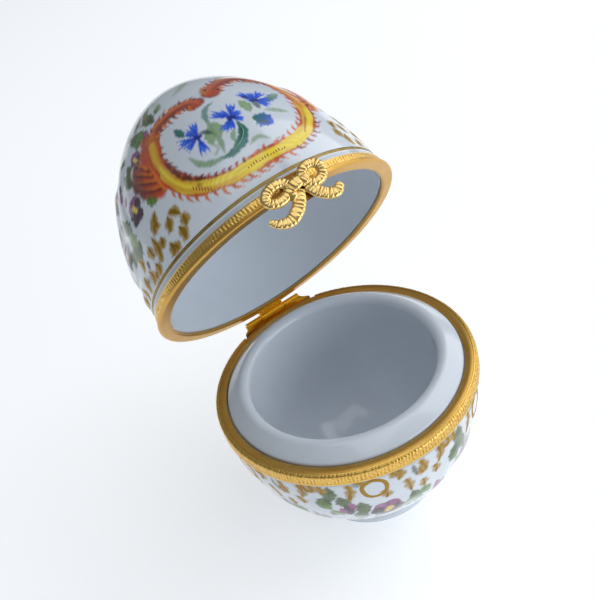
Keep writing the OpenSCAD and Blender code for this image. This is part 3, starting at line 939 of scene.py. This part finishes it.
def gild_cup(brush):
    """Thick scrolls and leaflets of gold under the strip."""
    brush.line(CUP_RING, 0.42, "gilding", "line", 1.2, steps=40)
    for k, dab in enumerate(CUP_DABS):
        brush.line(dab, 0.46 - 0.05 * (k % 3), "gilding", "dab", 1.2, steps=14)


# ---- Painted shells ----

@functools.cache
def lid_shell():
    """The shut lid, an egg's dome from the strip's upper edge to the tip. The front's design is
    repeated at the back, and each side's bouquet is mirrored on the other."""
    start, top = CURVE_START, size("lid_height")
    s = np.sin(np.linspace(0, math.pi / 2, OUTLINE_STEPS))
    depth = start + (top - start) * s
    first = size("strip_edge") + size("rim_gap")
    lid = Shell(depth, size("body_radius") * egg(s, *LID_FULLNESS), 1, first, top, 150, to_lid)
    for turn in (0, 180):
        emboss_lid(Brush(lid, turn))
        for mirror in (1, -1):
            paint_bouquet(Brush(lid, turn, mirror, 11 + turn))
            shadow_gold(Brush(lid, turn, mirror, 71), LID_DABS, 0.8)
        paint_tip(Brush(lid, turn, 1, 2))
        paint_cartouche(Brush(lid, turn, 1, 21))
        paint_cornflowers(Brush(lid, turn, 1, 31))
    # Painted shade along the strip's edge: a faint grey line round the lid just past the strip.
    Brush(lid, 0, 1, 1).stroke(hoop(2.85, 24), 0.2, "grey", soft=0.5, strength=0.6)
    return lid


@functools.cache
def cup_shell():
    """The cup below the strip, an egg's outline down to the foot ring, with its garland six times."""
    start, full = CURVE_START, size("mouth_height") + 2.4
    s = np.linspace(0, 0.82, OUTLINE_STEPS)
    depth = start + (full - start) * s
    radius = size("body_radius") * egg(s, *CUP_FULLNESS)
    cup = Shell(depth, radius, -1, start, start + (full - start) * 0.8, 96, to_cup)
    swell = [(-48, 9), (-38, 12), (-24, 14), (-10, 12), (4, 15), (12, 9)]
    for k in range(6):
        brush = Brush(cup, 60 * k, 1, 41 + k)
        brush.emboss(swell, 3.4, size("relief") * 0.9)
        shadow_gold(brush, CUP_DABS, 0.75)
        paint_cup(brush)
    # Painted shadow under the strip: a faint grey line round the cup just past the strip's edge.
    Brush(cup, 0, 1, 1).stroke(hoop(2.3, 24), 0.25, "grey", soft=0.5, strength=0.7)
    return cup


# ---- Operators ----

def level_rings(profile, turn):
    """Level rings of points, one for each radius and height of the profile; turn holds their
    directions in radians."""
    radius, height = np.array(profile).T[..., None]
    return np.stack([radius * np.sin(turn), -radius * np.cos(turn), height + 0 * turn], -1)


class TRINKET_OT_lid_porcelain(bpy.types.Operator):
    """Make the lid's porcelain with its moulded and painted outside"""

    bl_idname = "trinket.lid_porcelain"
    bl_label = "Lid porcelain"
    bl_options = {"REGISTER", "UNDO"}

    def execute(self, context):
        shell = lid_shell()
        edge = size("rim_gap") + size("shoulder")
        opening, shoulder = size("lid_opening"), size("body_radius") - size("shoulder_step")
        profile = [(shoulder, shell.rows[0]), (shoulder, edge + 0.02), (shoulder - 0.1, edge)]
        profile += [(opening + 0.1, edge), (opening, edge + 0.05)] + lid_inside()
        outer = shell.surface(shell.columns[None], shell.rows[::-1][1:, None])
        inner = to_lid(level_rings(profile, np.radians(shell.columns)))
        top = size("lid_height")
        tips = to_lid(np.array([[0, 0, top], [0, 0, top - size("lid_wall")]]))
        points, faces = turned_solid(np.concatenate([outer, inner]), *tips)
        paint = np.ones((len(points), 3)) * tint("glaze")
        outside = shell.paint[::-1][1:].reshape(-1, 3)
        paint[:len(outside)] = outside
        paint[-2] = shell.paint[-1].mean(0)
        piece = add_piece("lid_painted_porcelain", points, faces, painted_glaze(), "lid",
                          paint)
        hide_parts("lid_porcelain")
        return {"FINISHED"}


def lid_inside(steps=15):
    """Inside of the lid's dome, from the mouth to just short of the tip."""
    top = size("lid_height") - size("lid_wall")
    s = np.sin(np.linspace(0, math.pi / 2, steps + 1))[:-1]
    radius = size("lid_opening") * egg(s, *LID_FULLNESS)
    return list(zip(radius, CURVE_START + (top - CURVE_START) * s))


def arc(x, z, r, start, end, steps):
    """Points on an arc round (x, z), in degrees from +X towards +Z."""
    t = np.radians(np.linspace(start, end, steps + 1))
    return list(zip(x + r * np.cos(t), z + r * np.sin(t)))


class TRINKET_OT_cup_porcelain(bpy.types.Operator):
    """Make the cup's porcelain: foot ring, painted wall, neck, lip and bowl"""

    bl_idname = "trinket.cup_porcelain"
    bl_label = "Cup porcelain"
    bl_options = {"REGISTER", "UNDO"}

    def execute(self, context):
        shell = cup_shell()
        foot, recess, foot_height = size("foot_radius"), size("foot_recess"), size("foot_height")
        mouth, shoulder = size("mouth_height"), size("body_radius") - size("shoulder_step")
        opening, neck = size("cup_opening"), size("neck_radius")
        ledge, lip_foot, round_off, slope = mouth - size("shoulder"), mouth - 2, 1.3, 55
        s = np.sin(np.linspace(0, math.pi / 2, 19))[:-1]
        below = [(4.0, recess), (foot - 2.7, recess), (foot - 2.2, 0.02), (foot - 2.15, 0)]
        below += [(foot - 0.45, 0)] + arc(foot - 0.4, 0.4, 0.4, -85, 0, 5)
        below += arc(foot + 0.9, foot_height - 0.2, 1.35, 228, 170, 8)
        above = [(shoulder, mouth - CURVE_START), (shoulder, ledge - 0.02), (shoulder - 0.05, ledge)]
        above += [(neck + 0.05, ledge), (neck, ledge + 0.05)]
        above += arc(neck - 0.5, mouth - 0.05, 0.5, 0, slope, 5)
        lip = mouth + size("neck_height") - round_off
        above += arc(opening + round_off, lip, round_off, slope, 180, 14)
        above += list(zip((opening + 0.2) * egg(s, *BOWL_FULLNESS), lip_foot - size("bowl_depth") * s))
        turn = np.radians(shell.columns)
        wall = shell.surface(shell.columns[None], shell.rows[::-1][:, None])
        rings = np.concatenate([level_rings(below, turn), wall, level_rings(above, turn)])
        points, faces = turned_solid(rings, [0, 0, recess], [0, 0, lip_foot - size("bowl_depth")])
        paint = np.ones((len(points), 3)) * tint("glaze")
        start = len(below) * len(turn)
        painted = shell.paint[::-1].reshape(-1, 3)
        paint[start:start + len(painted)] = painted
        piece = add_piece("cup_painted_porcelain", points, faces, painted_glaze(), "base",
                          paint)
        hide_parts("base_porcelain")
        return {"FINISHED"}


class TRINKET_OT_enamel(bpy.types.Operator):
    """Lay the fine raised enamel lines on the lid"""

    bl_idname = "trinket.enamel"
    bl_label = "Raised enamel"
    bl_options = {"REGISTER", "UNDO"}

    def execute(self, context):
        lines = Strokes()
        for turn in (0, 180):
            enamel_lid(Brush(lid_shell(), turn, 1, 51, lines))
        lines.piece("lid_enamel_lines", enamel(), "lid", "painted_porcelain")
        return {"FINISHED"}


class TRINKET_OT_gilding(bpy.types.Operator):
    """Lay the gold scrolls and the gold lines on the lid and the cup"""

    bl_idname = "trinket.gilding"
    bl_label = "Gilding"
    bl_options = {"REGISTER", "UNDO"}

    def execute(self, context):
        scrolls = Strokes()
        for turn in (0, 180):
            for mirror in (1, -1):
                gild_lid(Brush(lid_shell(), turn, mirror, 61, scrolls))
        scrolls.piece("lid_gold_scrolls", painted_gold(), "lid", "painted_porcelain")
        line = Strokes()
        around = Brush(lid_shell(), 0, 1, 62, line)
        around.line(hoop(3.6, 30), 0.34, "faded_gold", "line", 0.8, steps=361)
        line.piece("lid_gold_line", painted_gold(), "lid", "painted_porcelain")
        ring = Strokes()
        for k in range(6):
            gild_cup(Brush(cup_shell(), 60 * k, 1, 63 + k, ring))
        around = Brush(cup_shell(), 0, 1, 64, ring)
        around.line(hoop(22.2, 30), 0.3, "gilding", "line", 1.2, steps=361)
        ring.piece("cup_gold_scrolls", painted_gold(), "base", "painted_porcelain")
        return {"FINISHED"}


def cut_pattern(turn, v):
    """Depth from 0 to 1 of the engraving: upright and slanting nicks of uneven strength between
    two plain edges. turn is in radians, v runs from 0 to 1 across the strip."""
    wander = 0.5 * np.sin(5 * turn + 1) + 0.4 * np.sin(13 * turn + 2) + 0.3 * np.sin(31 * turn)
    fade = 0.6 + 0.4 * np.sin(43 * turn + 2 * v) * np.sin(29 * turn - 3 * v + 1)
    nick = 1 - np.abs(np.sin(118 * turn + 0.7 * (v - 0.5) + wander))
    fleck = 0.5 + 0.5 * np.sin(203 * turn + 5 * v + 3 * wander) * np.sin(71 * turn - 12 * v)
    body = 0.75 * nick**1.3 * fade + 0.45 * fleck
    field = np.clip((v - 0.06) / 0.07, 0, 1) * np.clip((0.93 - v) / 0.07, 0, 1)
    groove = np.exp(-((v - 0.09) / 0.035) ** 2) + np.exp(-((v - 0.91) / 0.035) ** 2)
    return np.clip(body * field + 0.5 * groove, 0, 1)


class TRINKET_OT_engraved_strips(bpy.types.Operator):
    """Make the two engraved brass strips"""

    bl_idname = "trinket.engraved_strips"
    bl_label = "Engraved strips"
    bl_options = {"REGISTER", "UNDO"}

    def execute(self, context):
        far, near, outer = size("strip_edge"), size("strip_near"), size("strip_radius")
        seat, round_off, top = 0.34, 0.5, -0.1
        inner = size("body_radius") - seat
        over = np.radians(np.linspace(0, 90, 9))
        crest = np.stack([outer - round_off * (1 - np.cos(over)), top + round_off * (1 - np.sin(over))], -1)
        wall = np.stack([np.full(13, outer), np.linspace(far, top + round_off, 13)], -1)[:-1]
        cup = np.concatenate([wall, crest, [[inner, top]]])
        lid = np.stack([np.full(15, outer), np.linspace(far, near, 15)], -1)
        self.strip("cup_engraved_strip", "base", "base_band", cup, -1, 0.0, inner, to_cup)
        self.strip("lid_engraved_strip", "lid", "lid_band", lid, 1, size("rim_gap"), inner, to_lid)
        return {"FINISHED"}

    def strip(self, name, body, node, face, up, start, inner, carry):
        """Carries the face's outline, as radius and distance from the mouth, round the egg and
        sinks the engraving along its normal. Where the hinge's leaf lies, the top is cut down."""
        along = np.gradient(face, axis=0)
        normal = np.stack([-along[:, 1], along[:, 0]], -1) / np.hypot(*along.T)[:, None]
        run = np.concatenate([[0], np.cumsum(np.hypot(*np.diff(face, axis=0).T))])
        turn = np.linspace(0, 2 * math.pi, 1500, endpoint=False)[None]
        cut = cut_pattern(turn, (run / run[-1])[:, None])
        place = face[:, None] - normal[:, None] * (size("engraving") * cut)[..., None]
        back = np.array([[inner, face[-1, 1]], [inner, face[0, 1]]])
        place = np.concatenate([place, np.repeat(back[:, None], turn.size, 1)])
        cut = np.concatenate([cut, np.zeros((2, turn.size))])
        radius, depth = place[..., 0], place[..., 1]
        if up < 0:
            leaf_half, leaf_low = 8.1, 1.36
            notched = (np.abs(np.sin(turn)) * size("strip_radius") < leaf_half) & (np.cos(turn) < 0)
            depth = np.where(notched, np.maximum(depth, leaf_low), depth)
        points = np.stack([radius * np.sin(turn), -radius * np.cos(turn), up * (depth + start)], -1)
        faces = [grid_faces(len(radius), turn.size, close_rows=True)]
        piece = add_piece(name, carry(points.reshape(-1, 3)), faces, engraved_brass(), body,
                          cut=cut, crease=60)
        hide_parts(node)


# ---- Bow ----

def ribbon(path, width, thickness, ribs, depth, closed=False, steps=160):
    """A ribbon carried along a path of (x, z, distance out): its section is a flattened oval whose
    outer side is crossed by ribs. width and thickness are half sizes, or lists along the path."""
    path = np.array(path, float)
    if closed:
        laps = np.concatenate([path, path, path, path[:1]])
        line = smooth_path(laps, 3 * steps + 1)[steps:2 * steps]
    else:
        line = smooth_path(path, steps)
    t = np.linspace(0, 1, len(line), endpoint=not closed)
    width, thickness = np.atleast_1d(width), np.atleast_1d(thickness)
    half = np.interp(t, np.linspace(0, 1, len(width)), width)[:, None]
    thick = np.interp(t, np.linspace(0, 1, len(thickness)), thickness)[:, None]
    run = np.roll(line, -1, 0) - np.roll(line, 1, 0) if closed else np.gradient(line, axis=0)
    run /= np.linalg.norm(run, axis=1)[:, None]
    out = np.array([0, 0, 1.0])
    across = np.cross(run, out)
    across /= np.linalg.norm(across, axis=1)[:, None]
    lift = np.cross(across, run)
    phase = np.linspace(0, 2 * math.pi, 20, endpoint=False)[None]
    sway = 0.35 * np.sin(19 * t + ribs) + 0.25 * np.sin(41 * t)
    slant = 0.5 * np.cos(phase)
    valley = (1 - np.abs(np.sin((math.pi * ribs * t + sway)[:, None] + slant))) ** 1.2
    valley = valley * (0.7 + 0.3 * np.sin(23 * t + 1)[:, None])
    facing = np.clip(np.sin(phase) + 0.55, 0, 1)
    cut = valley * facing
    flat = np.sign(np.cos(phase)) * np.abs(np.cos(phase)) ** 0.8 * half * (1 - 0.06 * cut)
    high = np.sin(phase) * thick * (1 - depth * cut)
    points = line[:, None] + across[:, None] * flat[..., None] + lift[:, None] * high[..., None]
    rows, columns = points.shape[:2]
    faces = [grid_faces(rows, columns, close_rows=closed)]
    if not closed:
        end = np.arange(columns)
        faces.append(np.stack([end[::-1], end + (rows - 1) * columns]))
    return points.reshape(-1, 3), faces, cut.ravel()


def oval(x, z, wide, tall, out, tilt=0, corners=12):
    """Points round a tilted ellipse in the bow's plane, all at one distance out."""
    t = np.linspace(0, 2 * math.pi, corners, endpoint=False)
    a = math.radians(tilt)
    u, w = wide * np.cos(t), tall * np.sin(t)
    across, up = u * math.cos(a) - w * math.sin(a), u * math.sin(a) + w * math.cos(a)
    return np.stack([x + across, z + up, np.full(corners, out)], -1)


class TRINKET_OT_bow(bpy.types.Operator):
    """Make the ribbed bow on the clasp"""

    bl_idname = "trinket.bow"
    bl_label = "Bow"
    bl_options = {"REGISTER", "UNDO"}

    # Distance from the strips to the bow's back, and the least and greatest distance out from it, in mm
    stand_off = 1.15
    reach = (0.02, 1.33)

    def execute(self, context):
        left_tail = [(0.1, -0.6, 0.45), (-0.8, -1.9, 0.5), (-2.0, -3.1, 0.5), (-3.6, -3.9, 0.45),
                     (-5.2, -3.6, 0.45), (-6.3, -2.6, 0.5)]
        right_tail = [(1.0, -0.7, 0.45), (2.0, -2.1, 0.5), (3.0, -3.1, 0.5), (4.3, -3.5, 0.5),
                      (5.4, -2.8, 0.5)]
        parts = [
            ribbon(left_tail, [0.75, 0.95, 0.98, 0.92, 0.72, 0.42], [0.36, 0.36, 0.36, 0.34, 0.3], 13, 0.34),
            ribbon(right_tail, [0.7, 0.92, 0.95, 0.88, 0.6], [0.36, 0.36, 0.36, 0.3], 11, 0.34),
            ribbon(oval(-2.95, 0.35, 1.95, 1.2, 0.62, 12), 0.78, 0.46, 18, 0.28, closed=True, steps=220),
            ribbon(oval(3.0, 0.55, 1.6, 1.4, 0.62, 24), 0.76, 0.46, 17, 0.28, closed=True, steps=220),
            ribbon([(-1.3, -0.35, 0.7), (-0.5, 0.1, 0.95), (0.4, 0.4, 0.95), (1.1, 0.75, 0.75)],
                   [0.5, 0.95, 0.95, 0.55], [0.3, 0.4, 0.4, 0.3], 4, 0.4),
            ribbon([(0.5, -0.3, 0.75), (1.2, 0.1, 0.98), (2.1, 0.55, 0.8)],
                   [0.5, 0.85, 0.5], [0.3, 0.38, 0.3], 3, 0.4, steps=80),
            ribbon([(-1.9, -1.75, 0.75), (-1.3, -1.2, 0.98), (-0.8, -0.8, 0.85)],
                   [0.25, 0.6, 0.35], [0.2, 0.36, 0.25], 1, 0.0, steps=40),
        ]
        back = size("strip_radius") + self.stand_off
        points, faces, cuts, count = [], [], [], 0
        for place, sides, cut in parts:
            x, z, out = place.T
            shut = np.stack([x, -(back + np.clip(out, *self.reach)), z], -1)
            points.append(to_lid(shut))
            faces += [block + count for block in outward(points[-1], sides)]
            cuts.append(cut)
            count += len(place)
        piece = add_piece("ribbed_bow", np.concatenate(points), faces, ribbed_brass(), "lid",
                          cut=np.concatenate(cuts), crease=70)
        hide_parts("clasp_bow", "clasp_rivet")
        return {"FINISHED"}


class TRINKET_OT_mount_finishes(bpy.types.Operator):
    """Finish the rims, hinge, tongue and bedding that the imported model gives"""

    bl_idname = "trinket.mount_finishes"
    bl_label = "Mount finishes"
    bl_options = {"REGISTER", "UNDO"}

    def execute(self, context):
        finishes = {
            satin_brass: ("base_bezel", "lid_bezel"),
            # The tongue gets the darker brass that paints the shade of the hollow behind the bow.
            shaded_tongue_brass: ("clasp_tongue",),
            bright_brass: ("base_hinge_leaf", "lid_hinge_leaf", "base_knuckle_left", "base_knuckle_right",
                           "lid_knuckle", "hinge_pin"),
            plaster: ("base_cement", "lid_cement"),
        }
        for finish, names in finishes.items():
            for name in names:
                materials = frame["nodes"][name].data.materials
                materials.clear()
                materials.append(finish())
        return {"FINISHED"}


# ---- Studio ----

def soft_light(name, heading, elevation, distance, width, watts, colour):
    """Square lamp that looks at the box from a heading, in degrees from the front towards +X."""
    lamp = bpy.data.lights.new(name, "AREA")
    lamp.size, lamp.energy, lamp.color = width, watts, colour
    holder = bpy.data.objects.new(name, lamp)
    a, e = math.radians(heading), math.radians(elevation)
    way = Vector((math.sin(a) * math.cos(e), -math.cos(a) * math.cos(e), math.sin(e)))
    holder.location = Vector((0, 0.01, 0.035)) + way * distance
    holder.rotation_euler = way.to_track_quat("Z", "Y").to_euler()
    bpy.context.scene.collection.objects.link(holder)


class TRINKET_OT_stage(bpy.types.Operator):
    """Set the floor, the lights, the world and the camera"""

    bl_idname = "trinket.stage"
    bl_label = "Stage"
    bl_options = {"REGISTER", "UNDO"}

    aim = Vector((0.182, 8.767, 37.148)) * MM
    distance = 0.135
    heading, elevation, roll = 21.5014, 37.1634, 18.6825
    lens = 48.0

    def execute(self, context):
        scene = bpy.context.scene
        reach = 3.0
        mesh = bpy.data.meshes.new("studio_floor")
        corners = [(-reach, -reach, 0), (reach, -reach, 0), (reach, reach, 0), (-reach, reach, 0)]
        mesh.from_pydata(corners, [], [(0, 1, 2, 3)])
        finish = Finish("studio_floor", roughness=0.8, emission_strength=0.5)
        mesh.materials.append(finish.set(base_color=tint("floor"), emission_color=tint("floor")))
        floor = bpy.data.objects.new("studio_floor", mesh)
        scene.collection.objects.link(floor)

        soft_light("window_light", 86, 34, 0.9, 0.9, 3.6, (0.98, 0.99, 1.0))
        soft_light("fill_light", 30, 4, 0.9, 0.7, 4.6, (0.9, 0.95, 1.0))
        soft_light("top_light", 10, 80, 1.0, 0.8, 2.0, (0.95, 0.98, 1.0))

        world = bpy.data.worlds.new("studio_world")
        scene.world = world
        world.use_nodes = True
        background = world.node_tree.nodes["Background"]
        background.inputs["Color"].default_value = (0.86, 0.92, 1.0, 1.0)
        background.inputs["Strength"].default_value = 0.27

        a, e, r = (math.radians(v) for v in (self.heading, self.elevation, self.roll))
        ahead = Vector((math.sin(a) * math.cos(e), math.cos(a) * math.cos(e), -math.sin(e)))
        level = ahead.cross(Vector((0, 0, 1))).normalized()
        upright = level.cross(ahead)
        up = upright * math.cos(r) + level * math.sin(r)
        right = ahead.cross(up)
        lens = bpy.data.cameras.new("camera")
        lens.lens, lens.sensor_width = self.lens, 36.0
        lens.clip_start = 0.005
        camera = bpy.data.objects.new("camera", lens)
        turned = Matrix((right, up, -ahead)).transposed().to_4x4()
        camera.matrix_world = Matrix.Translation(self.aim - ahead * self.distance) @ turned
        scene.collection.objects.link(camera)
        scene.camera = camera
        scene.view_settings.view_transform = "Standard"
        return {"FINISHED"}


class TRINKET_PT_panel(bpy.types.Panel):
    """Sidebar panel with the egg's sizes, colours and operators."""

    bl_label = "Trinket egg"
    bl_idname = "TRINKET_PT_panel"
    bl_space_type = "VIEW_3D"
    bl_region_type = "UI"
    bl_category = "Trinket egg"

    def draw(self, context):
        for operator in OPERATORS:
            self.layout.operator(operator.bl_idname)
        for group in (context.scene.egg_sizes, context.scene.egg_colours):
            for name in group.__annotations__:
                self.layout.prop(group, name)


OPERATORS = (
    TRINKET_OT_mount_finishes, TRINKET_OT_lid_porcelain, TRINKET_OT_cup_porcelain, TRINKET_OT_enamel,
    TRINKET_OT_gilding, TRINKET_OT_engraved_strips, TRINKET_OT_bow, TRINKET_OT_stage,
)
CLASSES = (EggSizes, EggColours, *OPERATORS, TRINKET_PT_panel)


def register():
    for cls in CLASSES:
        bpy.utils.register_class(cls)
    bpy.types.Scene.egg_sizes = bpy.props.PointerProperty(type=EggSizes)
    bpy.types.Scene.egg_colours = bpy.props.PointerProperty(type=EggColours)


def unregister():
    del bpy.types.Scene.egg_colours
    del bpy.types.Scene.egg_sizes
    for cls in reversed(CLASSES):
        bpy.utils.unregister_class(cls)


def main():
    """Builds every piece and the stage."""
    register()
    for operator in OPERATORS:
        group, name = operator.bl_idname.split(".")
        getattr(getattr(bpy.ops, group), name)()


if __name__ == "__main__":
    main()
